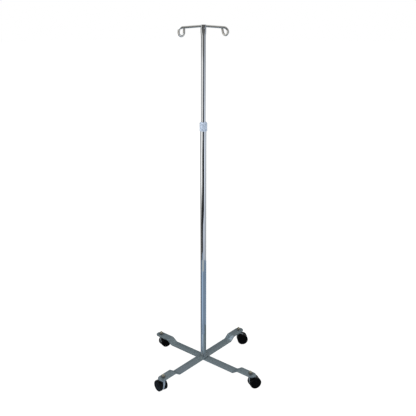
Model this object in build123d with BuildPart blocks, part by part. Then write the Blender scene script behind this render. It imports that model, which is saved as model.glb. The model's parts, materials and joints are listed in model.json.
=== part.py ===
"""Four-leg infusion stand: telescoping mast, two bag hooks, crossed bar base on twin-wheel casters.

Millimetres, +Z up. The origin is on the floor under the mast. +X runs along the hook crossbar,
-Y is the front. Each separate piece is one STEP in parts/.
"""
from build123d import *
from math import cos, radians, sin, tan
import os

os.makedirs("parts", exist_ok=True)

# ---- base bars -------------------------------------------------------------------------------
bar_width = 40.0
bar_thickness = 5.0
stem_circle_radius = 267.5      # from the mast axis to each caster stem
bar_tip_beyond_stem = 4.5       # centre of the round tip, outwards from the stem
bar_joggle = 16.5               # how far each end is stepped up
ramp_inner_radius = 183.5
ramp_outer_radius = 207.0
bar_bend_radius = 9.0
bar_edge_radius = 0.8
stem_hole_radius = 5.2
anti_turn_pin_radius = 2.0
anti_turn_pin_offset = 8.2      # beside the centre bolt
bar_end_length = stem_circle_radius + bar_tip_beyond_stem + bar_width / 2

# ---- centre bolt, studs and nuts -------------------------------------------------------------
hex_across_flats = 17.0         # every nut and bolt head
base_bolt_radius = 5.0
bolt_head_height = 6.4
washer_radius = 10.5
washer_thickness = 2.0
foot_plug_length = 36.0         # plug in the bottom of the mast, which the bolt screws into
anti_turn_pin_depth = 12.0      # of the pin in the foot plug
stud_radius = 5.0
stud_above_bar = 14.5
lock_washer_radius = 8.6
lock_washer_thickness = 2.0
lock_washer_slit = 1.2
nut_height = 5.0                # thin nuts
spacer_radius = 9.0

# ---- casters ---------------------------------------------------------------------------------
wheel_radius = 25.4             # two-inch wheels
wheel_inner_face = 5.5          # from the caster's middle plane
wheel_outer_face = 19.8
caster_half_width = 20.4
caster_trail = 19.4             # stem axis to axle axis
axle_radius = 3.0
running_clearance = 0.05
cap_radius = 8.0
stem_flange_top = 61.5          # the bar, or a spacer, sits on it
flange_bottom = 58.3
flange_radius = 9.0
pin_radius = 3.5                # the plain pin that the caster turns on
pin_bottom = 35.0
grip_ring_bottom = 39.0
grip_ring_height = 1.5
grip_ring_bore = 2.8
thrust_washer_thickness = 0.7
body_half_thickness = 5.0
body_disc_radius = 22.3
boss_radius = 9.0
boss_bottom = 52.6
boss_top = 57.5
neck_top = 54.0                 # of the arm that joins the disc to the boss
neck_back = 6.5                 # how far the arm reaches behind the stem axis
axle_half_length = 17.8
cap_seat = axle_half_length + 0.3
hub_radius = 6.5
web_inner_face = 9.5
rim_bore = 20.5
rim_step_radius = 19.5
hub_step_radius = 11.2
face_step = 1.0
caster_headings = {             # which way each caster trails, seen from above
    "front_left": 124.0,
    "front_right": 15.0,
    "rear_left": 28.0,
    "rear_right": 2.0,
}
stem_headings = {"front_left": 225.0, "front_right": 315.0, "rear_left": 135.0, "rear_right": 45.0}
upper_bar_corners = ("front_left", "rear_right")

# ---- heights worked out from the casters and the bars ------------------------------------------
lower_bar_end_top = stem_flange_top + bar_thickness
lower_bar_top = lower_bar_end_top - bar_joggle
upper_bar_top = lower_bar_top + bar_thickness
upper_bar_end_top = lower_bar_end_top + bar_thickness
lower_bar_bottom = lower_bar_top - bar_thickness

# ---- mast ------------------------------------------------------------------------------------
lower_tube_radius = 12.7
tube_wall = 1.2
lower_tube_bore = lower_tube_radius - tube_wall
lower_tube_top = 1119.0
ferrule_seat_radius = 12.6
ferrule_bottom = 1102.0
ferrule_top = 1116.0
ferrule_radius = 14.3
thread_pitch = 3.0              # ring grooves on the ferrule, for the collar's thread
thread_depth = 0.5
thread_count = 4
upper_tube_radius = 9.525
upper_tube_bore = upper_tube_radius - tube_wall
upper_tube_bottom = 473.0
fit_gap = 0.06                  # sliding and turning fits in the mast
guide_sleeve_length = 100.0
plug_head_length = 20.0
plug_shank_length = 22.0

# ---- lock collet and collar --------------------------------------------------------------------
collet_base = lower_tube_top
collet_top = lower_tube_top + 15.0
cone_start = lower_tube_top + 2.5
collet_wide_radius = 13.8
collet_narrow_radius = 11.6
collet_slit = 1.5
cone_gap = 0.35
collar_bottom = 1101.0
collar_top = 1138.0
collar_radius = 15.6
collar_bore = ferrule_radius + fit_gap
collar_mouth = upper_tube_radius + 0.5
collar_web_bottom = collet_top + 0.4
collar_shoulder = collar_top - 5.0
collar_top_radius = 12.6

# ---- hook rod --------------------------------------------------------------------------------
rod_radius = 4.5
rod_height = 1513.6
rod_droop = 4.0                 # degrees, each side
rod_crown_half_width = 14.0     # the middle of the rod bends over this width
eye_reach = 96.5                # mast axis to the outer leg of each eye
eye_offset = 12.0               # outer leg to return leg, along Y
eye_depths = {"left": 37.5, "right": 34.0}
eye_bend_radii = {"left": 16.0, "right": 17.5}
eye_spans = {"left": 21.5, "right": 18.0}       # outer leg to return leg, along X
eye_rises = {"left": 0.5, "right": -2.0}        # negative leans the return leg to the mast
eye_tip_lengths = {"left": 19.5, "right": 20.0}
crimp_start = rod_height - 42.0
crimp_full = rod_height - 18.0
crimp_half_width = 11.2
crimp_half_depth = 7.2
upper_tube_top = rod_height + 5.5
dimple_radius = 4.0             # punched marks that hold the rod in the tube
dimple_depth = 0.7
dimple_spacing = 8.0
dimple_drop = 9.5


def save(piece, name):
    """Label a finished piece and write its STEP."""
    piece.label = name
    export_step(piece, f"parts/{name}.step")


def heading_vector(degrees):
    """Unit vector in the floor plane at an angle from +X."""
    return Vector(cos(radians(degrees)), sin(radians(degrees)), 0)


def upright_plane(origin, heading):
    """Plane whose x runs along a heading and whose y is up."""
    along = heading_vector(heading)
    return Plane(origin=origin, x_dir=along, z_dir=along.cross(Vector(0, 0, 1)))


def stem_position(corner):
    """Point on the floor under a caster's stem."""
    return heading_vector(stem_headings[corner]) * stem_circle_radius


def lift(corner):
    """Extra height of the bar end at a corner: the upper bar stands one thickness higher."""
    return bar_thickness if corner in upper_bar_corners else 0.0


# ---- base ------------------------------------------------------------------------------------
def make_base_bar(name, heading, middle_top):
    """Flat bar with both ends stepped up, round tips, two stem holes and the centre holes."""
    side = upright_plane((0, 0, middle_top), heading)
    plan = Plane(origin=(0, 0, middle_top), x_dir=heading_vector(heading), z_dir=(0, 0, 1))
    tip = bar_end_length + 1.0
    with BuildPart() as bar:
        with BuildSketch(side):
            with BuildLine():
                top_line = FilletPolyline(
                    (-tip, bar_joggle),
                    (-ramp_outer_radius, bar_joggle),
                    (-ramp_inner_radius, 0),
                    (ramp_inner_radius, 0),
                    (ramp_outer_radius, bar_joggle),
                    (tip, bar_joggle),
                    radius=bar_bend_radius,
                )
                offset(top_line, amount=bar_thickness, side=Side.RIGHT, closed=True)
            make_face()
        extrude(amount=bar_width / 2, both=True)
        with BuildSketch(plan.offset(-2 * bar_thickness)):
            SlotOverall(2 * bar_end_length, bar_width)
        extrude(amount=bar_joggle + 3 * bar_thickness, mode=Mode.INTERSECT)
        with BuildSketch(plan.offset(-2 * bar_thickness)):
            with Locations((-stem_circle_radius, 0), (stem_circle_radius, 0)):
                Circle(stem_hole_radius)
            Circle(stem_hole_radius)
        extrude(amount=bar_joggle + 3 * bar_thickness, mode=Mode.SUBTRACT)
        with BuildSketch(Plane.XY.offset(middle_top - 2 * bar_thickness)):
            with Locations((anti_turn_pin_offset, 0)):
                Circle(anti_turn_pin_radius)
        extrude(amount=3 * bar_thickness, mode=Mode.SUBTRACT)
        long_edges = bar.edges().filter_by(lambda edge: edge.length > 60 and edge.center().Z > 0)
        fillet(long_edges, radius=bar_edge_radius)
    save(bar.part, name)


make_base_bar("lower_base_bar", 135.0, lower_bar_top)
make_base_bar("upper_base_bar", 45.0, upper_bar_top)

with BuildPart() as base_bolt_washer:
    with BuildSketch(Plane.XY.offset(lower_bar_bottom - washer_thickness)):
        Circle(washer_radius)
        Circle(base_bolt_radius + 0.2, mode=Mode.SUBTRACT)
    extrude(amount=washer_thickness)
save(base_bolt_washer.part, "base_bolt_washer")

with BuildPart() as base_bolt:
    with BuildSketch(Plane.XY.offset(lower_bar_bottom - washer_thickness - bolt_head_height)):
        RegularPolygon(hex_across_flats / 2, 6, major_radius=False)
    extrude(amount=bolt_head_height)
    chamfer(base_bolt.edges().group_by(Axis.Z)[0], length=0.8)
    with BuildSketch(Plane.XY.offset(lower_bar_bottom - washer_thickness)):
        Circle(base_bolt_radius)
    extrude(amount=washer_thickness + 2 * bar_thickness + foot_plug_length - 5.0)
    chamfer(base_bolt.edges().group_by(Axis.Z)[-1], length=0.8)
save(base_bolt.part, "base_bolt")

with BuildPart() as anti_turn_pin:
    with BuildSketch(Plane.XY.offset(lower_bar_bottom)):
        with Locations((anti_turn_pin_offset, 0)):
            Circle(anti_turn_pin_radius)
    extrude(amount=2 * bar_thickness + anti_turn_pin_depth)
save(anti_turn_pin.part, "anti_turn_pin")

with BuildPart() as foot_plug:
    with BuildSketch(Plane.XY.offset(upper_bar_top)):
        Circle(lower_tube_bore)
        Circle(base_bolt_radius, mode=Mode.SUBTRACT)
    extrude(amount=foot_plug_length)
    chamfer(foot_plug.edges().group_by(Axis.Z)[-1].sort_by(SortBy.RADIUS)[-1], length=1.0)
    with BuildSketch(Plane.XY.offset(upper_bar_top)):
        with Locations((anti_turn_pin_offset, 0)):
            Circle(anti_turn_pin_radius)
    extrude(amount=anti_turn_pin_depth, mode=Mode.SUBTRACT)
save(foot_plug.part, "foot_plug")

# ---- fixed mast tube and its lock ---------------------------------------------------------------
with BuildPart() as lower_tube:
    with BuildSketch(Plane.XY.offset(upper_bar_top)):
        Circle(lower_tube_radius)
    extrude(amount=ferrule_bottom - upper_bar_top)
    with BuildSketch(Plane.XY.offset(ferrule_bottom)):
        Circle(ferrule_seat_radius)
    extrude(amount=lower_tube_top - ferrule_bottom)
    with BuildSketch(Plane.XY.offset(upper_bar_top)):
        Circle(lower_tube_bore)
    extrude(amount=lower_tube_top - upper_bar_top, mode=Mode.SUBTRACT)
save(lower_tube.part, "lower_tube")

with BuildPart() as tube_ferrule:
    with BuildSketch(Plane.XY.offset(ferrule_bottom)):
        Circle(ferrule_radius)
    extrude(amount=ferrule_top - ferrule_bottom)
    with BuildSketch(Plane.XZ):
        for turn in range(thread_count):
            with Locations((ferrule_radius, ferrule_bottom + 2.5 + turn * thread_pitch)):
                Rectangle(2 * thread_depth, 1.2)
    revolve(axis=Axis.Z, mode=Mode.SUBTRACT)
    with BuildSketch(Plane.XY.offset(ferrule_bottom)):
        Circle(ferrule_seat_radius)
    extrude(amount=ferrule_top - ferrule_bottom, mode=Mode.SUBTRACT)
save(tube_ferrule.part, "tube_ferrule")

with BuildPart() as guide_sleeve:
    with BuildSketch(Plane.XY.offset(lower_tube_top - guide_sleeve_length)):
        Circle(lower_tube_bore)
        Circle(upper_tube_radius + fit_gap, mode=Mode.SUBTRACT)
    extrude(amount=guide_sleeve_length)
save(guide_sleeve.part, "guide_sleeve")

with BuildPart() as lock_collet:
    with BuildSketch(Plane.XZ):
        with BuildLine():
            Polyline(
                (upper_tube_radius + fit_gap, collet_base),
                (collet_wide_radius, collet_base),
                (collet_wide_radius, cone_start),
                (collet_narrow_radius, collet_top),
                (upper_tube_radius + fit_gap, collet_top),
                close=True,
            )
        make_face()
    revolve(axis=Axis.Z)
    with BuildSketch(Plane.XY.offset(collet_base)):
        with Locations((0, collet_wide_radius)):
            Rectangle(collet_slit, 2 * (collet_wide_radius - upper_tube_radius) + 4)
    extrude(amount=collet_top - collet_base, mode=Mode.SUBTRACT)
save(lock_collet.part, "lock_collet")

with BuildPart() as lock_collar:
    with BuildSketch(Plane.XZ):
        with BuildLine():
            Polyline(
                (collar_bore, collar_bottom),
                (collar_radius - 0.5, collar_bottom),
                (collar_radius, collar_bottom + 0.5),
                (collar_radius, collar_shoulder),
                (collar_top_radius, collar_top),
                (collar_mouth, collar_top),
                (collar_mouth, collar_web_bottom),
                (collet_narrow_radius + cone_gap, collar_web_bottom),
                (collet_wide_radius + cone_gap, cone_start),
                (collar_bore, cone_start - 0.5),
                close=True,
            )
        make_face()
    revolve(axis=Axis.Z)
    fillet(lock_collar.edges().filter_by_position(Axis.Z, collar_shoulder, collar_shoulder), radius=1.5)
save(lock_collar.part, "lock_collar")

# ---- moving mast -----------------------------------------------------------------------------
with BuildPart() as glide_plug:
    with BuildSketch(Plane.XY.offset(upper_tube_bottom - plug_head_length)):
        Circle(lower_tube_bore - fit_gap)
    extrude(amount=plug_head_length)
    chamfer(glide_plug.edges().group_by(Axis.Z)[0], length=1.5)
    with BuildSketch(Plane.XY.offset(upper_tube_bottom)):
        Circle(upper_tube_bore - fit_gap)
    extrude(amount=plug_shank_length)
    chamfer(glide_plug.edges().group_by(Axis.Z)[-1], length=1.0)
save(glide_plug.part, "glide_plug")


def eye_path(side):
    """Centre line of half the hook rod, from the mast out and round one eye to its tip."""
    sign = 1 if side == "right" else -1
    slope = tan(radians(rod_droop))
    outward = Vector(sign * cos(radians(rod_droop)), 0, -sin(radians(rod_droop)))
    start = Vector(0, 0, rod_height)
    crown_end = Vector(sign * rod_crown_half_width, 0, rod_height - rod_crown_half_width * slope / 2)
    corner = crown_end + outward * ((eye_reach - rod_crown_half_width) / cos(radians(rod_droop)))
    setback = eye_bend_radii[side] * tan(radians(90 - rod_droop) / 2)
    bend_start = corner - outward * setback
    bend_end = corner - Vector(0, 0, setback)
    chord = Vector(-sign * eye_spans[side], eye_offset, 0)
    curl_radius = (chord.length**2 + eye_rises[side] ** 2) / (2 * chord.length)
    leg_bottom = Vector(corner.X, 0, rod_height - eye_depths[side] + curl_radius)
    with BuildLine() as path:
        TangentArc(start, crown_end, tangent=(sign, 0, 0))
        Line(crown_end, bend_start)
        TangentArc(bend_start, bend_end, tangent=outward)
        Line(bend_end, leg_bottom)
        return_bottom = leg_bottom + chord + Vector(0, 0, eye_rises[side])
        curl = TangentArc(leg_bottom, return_bottom, tangent=(0, 0, -1))
        Line(curl @ 1, curl @ 1 + (curl % 1) * eye_tip_lengths[side])
    return path.wires()[0]


left_eye_path = eye_path("left")
right_eye_path = eye_path("right")

with BuildPart() as hook_rod:
    with BuildSketch(Plane(origin=(0, 0, rod_height), x_dir=(0, 1, 0), z_dir=(-1, 0, 0))):
        Circle(rod_radius)
    sweep(path=left_eye_path)
    with BuildSketch(Plane(origin=(0, 0, rod_height), x_dir=(0, 1, 0), z_dir=(1, 0, 0))):
        Circle(rod_radius)
    sweep(path=right_eye_path)
    with Locations(left_eye_path @ 1, right_eye_path @ 1):
        Sphere(rod_radius)
save(hook_rod.part, "hook_rod")


def tube_outline(inset):
    """Solid of the upper tube's outline, round below and squeezed flat at the hook rod."""
    with BuildPart() as outline:
        with BuildSketch(Plane.XY.offset(upper_tube_bottom + 0.2)):
            Circle(upper_tube_radius - inset)
        extrude(amount=crimp_start - upper_tube_bottom - 0.2)
        with BuildSketch(Plane.XY.offset(crimp_start)):
            Circle(upper_tube_radius - inset)
        with BuildSketch(Plane.XY.offset(crimp_full)):
            Ellipse(crimp_half_width - inset, crimp_half_depth - inset)
        loft()
        with BuildSketch(Plane.XY.offset(crimp_full)):
            Ellipse(crimp_half_width - inset, crimp_half_depth - inset)
        extrude(amount=upper_tube_top - crimp_full)
    return outline.part


tube_outside = tube_outline(0)
tube_inside = tube_outline(tube_wall)

with BuildPart() as upper_tube:
    add(tube_outside)
    add(tube_inside, mode=Mode.SUBTRACT)
    add(hook_rod.part, mode=Mode.SUBTRACT)
    for face_side in (-1, 1):
        dimple_y = face_side * (crimp_half_depth * 0.94 + dimple_radius - dimple_depth)
        with Locations(
            (-dimple_spacing / 2, dimple_y, rod_height - dimple_drop),
            (dimple_spacing / 2, dimple_y, rod_height - dimple_drop),
        ):
            Sphere(dimple_radius, mode=Mode.SUBTRACT)
save(upper_tube.part, "upper_tube")

# ---- caster fasteners on the bars -----------------------------------------------------------
with BuildPart() as caster_lock_washers:
    for corner in stem_headings:
        bar_top = lower_bar_end_top + lift(corner)
        plane = Plane(origin=stem_position(corner) + Vector(0, 0, bar_top), z_dir=(0, 0, 1))
        with BuildSketch(plane):
            Circle(lock_washer_radius)
            Circle(stud_radius + 0.1, mode=Mode.SUBTRACT)
            with Locations((lock_washer_radius, 0)):
                Rectangle(2 * lock_washer_radius - stud_radius, lock_washer_slit, mode=Mode.SUBTRACT)
        extrude(amount=lock_washer_thickness)
save(caster_lock_washers.part, "caster_lock_washers")

with BuildPart() as caster_nuts:
    for corner in stem_headings:
        nut_bottom = lower_bar_end_top + lift(corner) + lock_washer_thickness
        plane = Plane(
            origin=stem_position(corner) + Vector(0, 0, nut_bottom),
            x_dir=heading_vector(stem_headings[corner]),
            z_dir=(0, 0, 1),
        )
        with BuildSketch(plane):
            RegularPolygon(hex_across_flats / 2, 6, major_radius=False)
            Circle(stud_radius, mode=Mode.SUBTRACT)
        extrude(amount=nut_height)
    nut_rims = caster_nuts.edges().filter_by(GeomType.LINE).filter_by(Plane.XY)
    chamfer(nut_rims, length=0.7)
save(caster_nuts.part, "caster_nuts")

with BuildPart() as caster_spacers:
    for corner in upper_bar_corners:
        with BuildSketch(Plane(origin=stem_position(corner) + Vector(0, 0, stem_flange_top))):
            Circle(spacer_radius)
            Circle(stud_radius + 0.1, mode=Mode.SUBTRACT)
        extrude(amount=bar_thickness)
save(caster_spacers.part, "caster_spacers")

# ---- casters ---------------------------------------------------------------------------------
def make_stem(corner):
    """Threaded stem: stud through the bar, flange under it, plain pin that the caster turns on."""
    base = stem_position(corner)
    stud_top = lower_bar_end_top + lift(corner) + stud_above_bar
    with BuildPart() as stem:
        with BuildSketch(Plane(origin=base + Vector(0, 0, pin_bottom))):
            Circle(pin_radius)
        extrude(amount=flange_bottom - pin_bottom)
        with BuildSketch(Plane(origin=base + Vector(0, 0, grip_ring_bottom))):
            Circle(pin_radius)
            Circle(grip_ring_bore, mode=Mode.SUBTRACT)
        extrude(amount=grip_ring_height, mode=Mode.SUBTRACT)
        with BuildSketch(Plane(origin=base + Vector(0, 0, flange_bottom))):
            Circle(flange_radius)
        extrude(amount=stem_flange_top - flange_bottom)
        with BuildSketch(Plane(origin=base + Vector(0, 0, stem_flange_top))):
            Circle(stud_radius)
        extrude(amount=stud_top - stem_flange_top)
        chamfer(stem.edges().group_by(Axis.Z)[-1], length=0.9)
        chamfer(stem.edges().group_by(Axis.Z)[0], length=0.6)
    save(stem.part, f"caster_stem_{corner}")


def make_grip_ring(corner):
    """Split ring in the stem's groove, which holds the caster on."""
    with BuildPart() as ring:
        with BuildSketch(Plane(origin=stem_position(corner) + Vector(0, 0, grip_ring_bottom))):
            Circle(pin_radius)
            Circle(grip_ring_bore, mode=Mode.SUBTRACT)
            with Locations((pin_radius, 0)):
                Rectangle(pin_radius, 0.8, mode=Mode.SUBTRACT)
        extrude(amount=grip_ring_height)
    save(ring.part, f"caster_grip_ring_{corner}")


def make_thrust_washer(corner):
    """Plastic washer between the stem's flange and the turning body."""
    bottom = flange_bottom - thrust_washer_thickness
    with BuildPart() as washer:
        with BuildSketch(Plane(origin=stem_position(corner) + Vector(0, 0, bottom))):
            Circle(flange_radius - 0.4)
            Circle(pin_radius, mode=Mode.SUBTRACT)
        extrude(amount=thrust_washer_thickness)
    save(washer.part, f"caster_thrust_washer_{corner}")


def make_body(corner):
    """Cast body between the two wheels, with the boss that turns on the stem."""
    heading = caster_headings[corner]
    base = stem_position(corner)
    side = upright_plane(base, heading)
    with BuildPart() as body:
        with BuildSketch(side):
            with Locations((caster_trail, wheel_radius)):
                Circle(body_disc_radius)
            with BuildLine():
                Polyline(
                    (-neck_back, neck_top - 18.0),
                    (caster_trail, wheel_radius - 5.0),
                    (caster_trail, neck_top - 8.0),
                    (flange_radius, neck_top),
                    (-neck_back, neck_top),
                    close=True,
                )
            make_face()
        extrude(amount=body_half_thickness, both=True)
        with BuildSketch(Plane(origin=base + Vector(0, 0, boss_bottom))):
            Circle(boss_radius)
        extrude(amount=boss_top - boss_bottom)
        with BuildSketch(Plane(origin=base + Vector(0, 0, pin_bottom - 0.5))):
            Circle(pin_radius + running_clearance)
        extrude(amount=boss_top - pin_bottom + 0.5, mode=Mode.SUBTRACT)
        with BuildSketch(side.offset(-body_half_thickness)):
            with Locations((caster_trail, wheel_radius)):
                Circle(axle_radius)
        extrude(amount=2 * body_half_thickness, mode=Mode.SUBTRACT)
    save(body.part, f"caster_body_{corner}")


def make_axle(corner):
    """Steel pin pressed through the body, carrying both wheels."""
    heading = caster_headings[corner]
    side = upright_plane(stem_position(corner), heading)
    with BuildPart() as axle:
        with BuildSketch(side):
            with Locations((caster_trail, wheel_radius)):
                Circle(axle_radius)
        extrude(amount=axle_half_length, both=True)
        chamfer(axle.edges().filter_by(GeomType.CIRCLE), length=0.4)
    save(axle.part, f"caster_axle_{corner}")


def wheel_frame(corner, side_sign):
    """Axle centre, outward axle direction and the plane holding a wheel's half section."""
    heading = caster_headings[corner]
    centre = stem_position(corner) + heading_vector(heading) * caster_trail + Vector(0, 0, wheel_radius)
    outward = heading_vector(heading + 90.0 * side_sign)
    section = Plane(origin=centre, x_dir=outward, z_dir=outward.cross(Vector(0, 0, 1)))
    return Axis(centre, outward), section


def make_wheel(corner, side_name, side_sign):
    """Moulded wheel: rounded tread, raised rim, stepped face and a hollow inner side."""
    axis, section = wheel_frame(corner, side_sign)
    bore = axle_radius + running_clearance
    with BuildPart() as wheel:
        with BuildSketch(section) as half_section:
            with BuildLine():
                Polyline(
                    (wheel_inner_face, bore),
                    (wheel_inner_face, hub_radius),
                    (web_inner_face, hub_radius),
                    (web_inner_face, rim_bore),
                    (wheel_inner_face, rim_bore),
                    (wheel_inner_face, wheel_radius),
                    (wheel_outer_face, wheel_radius),
                    (wheel_outer_face, rim_step_radius),
                    (wheel_outer_face - face_step, rim_step_radius - face_step),
                    (wheel_outer_face - face_step, hub_step_radius + face_step),
                    (wheel_outer_face - face_step / 2, hub_step_radius),
                    (wheel_outer_face - face_step / 2, cap_radius),
                    (cap_seat, cap_radius),
                    (cap_seat, bore),
                    close=True,
                )
            make_face()
            tread_corners = half_section.vertices().group_by(Axis.Y)[-1].sort_by(Axis.X)
            fillet(tread_corners[0], radius=1.8)
            fillet(tread_corners[-1], radius=3.6)
        revolve(axis=axis)
    save(wheel.part, f"caster_wheel_{corner}_{side_name}")


def make_wheel_cap(corner, side_name, side_sign):
    """Cap with a rounded edge, pressed into the wheel's face over the axle end."""
    axis, section = wheel_frame(corner, side_sign)
    face = Plane(origin=section.origin + axis.direction * cap_seat, z_dir=axis.direction)
    with BuildPart() as cap:
        with BuildSketch(face):
            Circle(cap_radius)
        extrude(amount=caster_half_width - cap_seat)
        outer_edge = cap.edges().filter_by(GeomType.CIRCLE).sort_by(axis)[-1]
        fillet(outer_edge, radius=0.8)
    save(cap.part, f"caster_cap_{corner}_{side_name}")


for corner in stem_headings:
    make_stem(corner)
    make_grip_ring(corner)
    make_thrust_washer(corner)
    make_body(corner)
    make_axle(corner)
    for side_name, side_sign in (("left", 1), ("right", -1)):
        make_wheel(corner, side_name, side_sign)
        make_wheel_cap(corner, side_name, side_sign)
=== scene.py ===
import json
from math import atan2, cos, exp, pi, radians, sin, sqrt, tan

import bmesh
import bpy
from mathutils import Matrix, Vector


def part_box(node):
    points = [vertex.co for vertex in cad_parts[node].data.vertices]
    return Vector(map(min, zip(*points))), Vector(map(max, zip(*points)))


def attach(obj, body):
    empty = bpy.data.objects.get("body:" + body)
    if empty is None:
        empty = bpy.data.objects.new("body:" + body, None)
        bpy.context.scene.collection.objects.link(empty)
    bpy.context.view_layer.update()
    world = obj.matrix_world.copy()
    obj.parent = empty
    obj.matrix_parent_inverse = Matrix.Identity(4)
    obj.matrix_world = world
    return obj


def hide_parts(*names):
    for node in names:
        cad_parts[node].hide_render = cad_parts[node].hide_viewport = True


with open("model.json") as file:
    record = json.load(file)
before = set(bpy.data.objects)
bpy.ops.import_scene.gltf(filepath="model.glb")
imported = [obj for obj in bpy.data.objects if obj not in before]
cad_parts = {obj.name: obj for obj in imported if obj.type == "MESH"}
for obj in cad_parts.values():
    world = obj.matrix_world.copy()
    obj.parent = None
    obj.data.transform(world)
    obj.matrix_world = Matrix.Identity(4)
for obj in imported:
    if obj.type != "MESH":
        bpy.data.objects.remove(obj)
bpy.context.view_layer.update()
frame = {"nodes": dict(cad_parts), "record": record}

# All lengths are metres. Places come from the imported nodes' boxes.
UP = Vector((0, 0, 1))
ORIGIN = Vector((0, 0, 0))
CORNERS = ("front_left", "front_right", "rear_left", "rear_right")
MM = 0.001


# ---- measuring the frame ----
def box_centre(node):
    """Centre of a CAD node's box."""
    low, high = (Vector(corner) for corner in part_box(node))
    return (low + high) / 2


def box_radius(node):
    """Radius of an upright round CAD node."""
    low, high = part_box(node)
    return (high[0] - low[0]) / 2


def box_bottom(node):
    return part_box(node)[0][2]


def box_top(node):
    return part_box(node)[1][2]


def box_heights(node):
    return box_bottom(node), box_top(node)


def floor_point(node):
    """Point of the floor under a CAD node's centre."""
    centre = box_centre(node)
    return Vector((centre.x, centre.y, 0))


# ---- mesh helpers ----
def mesh_from(name, build):
    """Mesh made from a bmesh, which is freed."""
    mesh = bpy.data.meshes.new(name)
    build.to_mesh(mesh)
    build.free()
    return mesh


def round_corners(points, closed=False):
    """Polyline with its corners rounded. A point is (x, y) or (x, y, corner radius)."""
    count = len(points)
    result = []
    for index, point in enumerate(points):
        here = Vector(point[:2])
        radius = point[2] if len(point) > 2 else 0.0
        at_end = not closed and index in (0, count - 1)
        if radius <= 0 or at_end:
            result.append(tuple(here))
            continue
        to_last = (Vector(points[index - 1][:2]) - here).normalized()
        to_next = (Vector(points[(index + 1) % count][:2]) - here).normalized()
        half_angle = to_last.angle(to_next) / 2
        setback = radius / tan(half_angle)
        middle = here + (to_last + to_next).normalized() * (radius / sin(half_angle))
        start = here + to_last * setback - middle
        end = here + to_next * setback - middle
        turn = atan2(start.x * end.y - start.y * end.x, start.dot(end))
        steps = max(3, int(abs(turn) / radians(12)))
        for step in range(steps + 1):
            angle = turn * step / steps
            offset = Vector((start.x * cos(angle) - start.y * sin(angle),
                             start.x * sin(angle) + start.y * cos(angle)))
            result.append(tuple(middle + offset))
    return result


def spread(start, end, steps):
    """Evenly spaced values, both ends included."""
    return [start + (end - start) * k / steps for k in range(steps + 1)]


def stitch_rings(build, rings, wear_and_shade_per_ring=None, loop=False):
    """Rows of vertices from closed rings of points, joined row to row. The values, one per ring, fill a layer
    that marks edge wear on the bars and dirt with painted shade on the caster bodies' sides.
    """
    wear_and_shade_layer = build.verts.layers.float.new("wear_and_shade")
    rows = []
    for index, ring in enumerate(rings):
        row = [build.verts.new(point) for point in ring]
        if wear_and_shade_per_ring:
            for vert in row:
                vert[wear_and_shade_layer] = wear_and_shade_per_ring[index]
        rows.append(row)
    pairs = list(zip(rows, rows[1:]))
    if loop:
        pairs.append((rows[-1], rows[0]))
    for low, high in pairs:
        for index in range(len(low)):
            after = (index + 1) % len(low)
            build.faces.new((low[index], low[after], high[after], high[index]))
    return rows


def piece_from_rings(name, rings, loop=False, wear_and_shade_per_ring=None):
    """Mesh object through rings of points, capped at both ends or, with loop, joined end to end."""
    build = bmesh.new()
    rows = stitch_rings(build, rings, wear_and_shade_per_ring, loop)
    if not loop:
        build.faces.new(list(reversed(rows[0])))
        build.faces.new(rows[-1])
    bmesh.ops.remove_doubles(build, verts=build.verts, dist=1e-6)
    bmesh.ops.recalc_face_normals(build, faces=build.faces)
    return finish_mesh(name, mesh_from(name, build))


def finish_mesh(name, mesh):
    """Object for a mesh, smooth shaded except at sharp edges."""
    mesh.shade_smooth()
    mesh.set_sharp_from_angle(angle=radians(38))
    piece = bpy.data.objects.new(name, mesh)
    bpy.context.scene.collection.objects.link(piece)
    return piece


def lathe(name, profile, origin=ORIGIN, axis=UP, segments=96, closed=True, radius_at=None):
    """Turned piece. profile lists (along the axis, radius); closed joins its last point to its first.

    radius_at gives the radius from the place along the axis, the profile's radius and the angle.
    """
    axis = Vector(axis).normalized()
    across = axis.orthogonal().normalized()
    beside = axis.cross(across)
    rings = []
    for along, radius in profile:
        ring = []
        for index in range(segments):
            angle = 2 * pi * index / segments
            here = radius_at(along, radius, angle) if radius_at else radius
            ring.append(origin + axis * along + (across * cos(angle) + beside * sin(angle)) * here)
        rings.append(ring)
    return piece_from_rings(name, rings, loop=closed)


def swept_tube(name, path, radius, segments=28):
    """Round rod along a list of points, with domed ends."""
    tangents = []
    for index in range(len(path)):
        before = path[max(index - 1, 0)]
        after = path[min(index + 1, len(path) - 1)]
        tangents.append((after - before).normalized())
    side = tangents[0].orthogonal().normalized()
    rings = []

    def ring(centre, tangent, size):
        other = tangent.cross(side)
        return [centre + (side * cos(2 * pi * k / segments) + other * sin(2 * pi * k / segments)) * size
                for k in range(segments)]

    dome = spread(0, pi / 2, 6)[1:]
    for angle in dome:
        rings.append(ring(path[0] - tangents[0] * radius * cos(angle), tangents[0], radius * sin(angle)))
    for point, tangent in zip(path[1:-1], tangents[1:-1]):
        side = (side - tangent * side.dot(tangent)).normalized()
        rings.append(ring(point, tangent, radius))
    side = (side - tangents[-1] * side.dot(tangents[-1])).normalized()
    for angle in reversed(dome):
        rings.append(ring(path[-1] + tangents[-1] * radius * cos(angle), tangents[-1], radius * sin(angle)))
    return piece_from_rings(name, rings)


def place(piece, body, slot, *nodes):
    """Give a piece its slot's material and its body, and hide the CAD nodes that it stands for."""
    piece.data.materials.append(MATERIALS[slot])
    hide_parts(*nodes)
    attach(piece, body)


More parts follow.
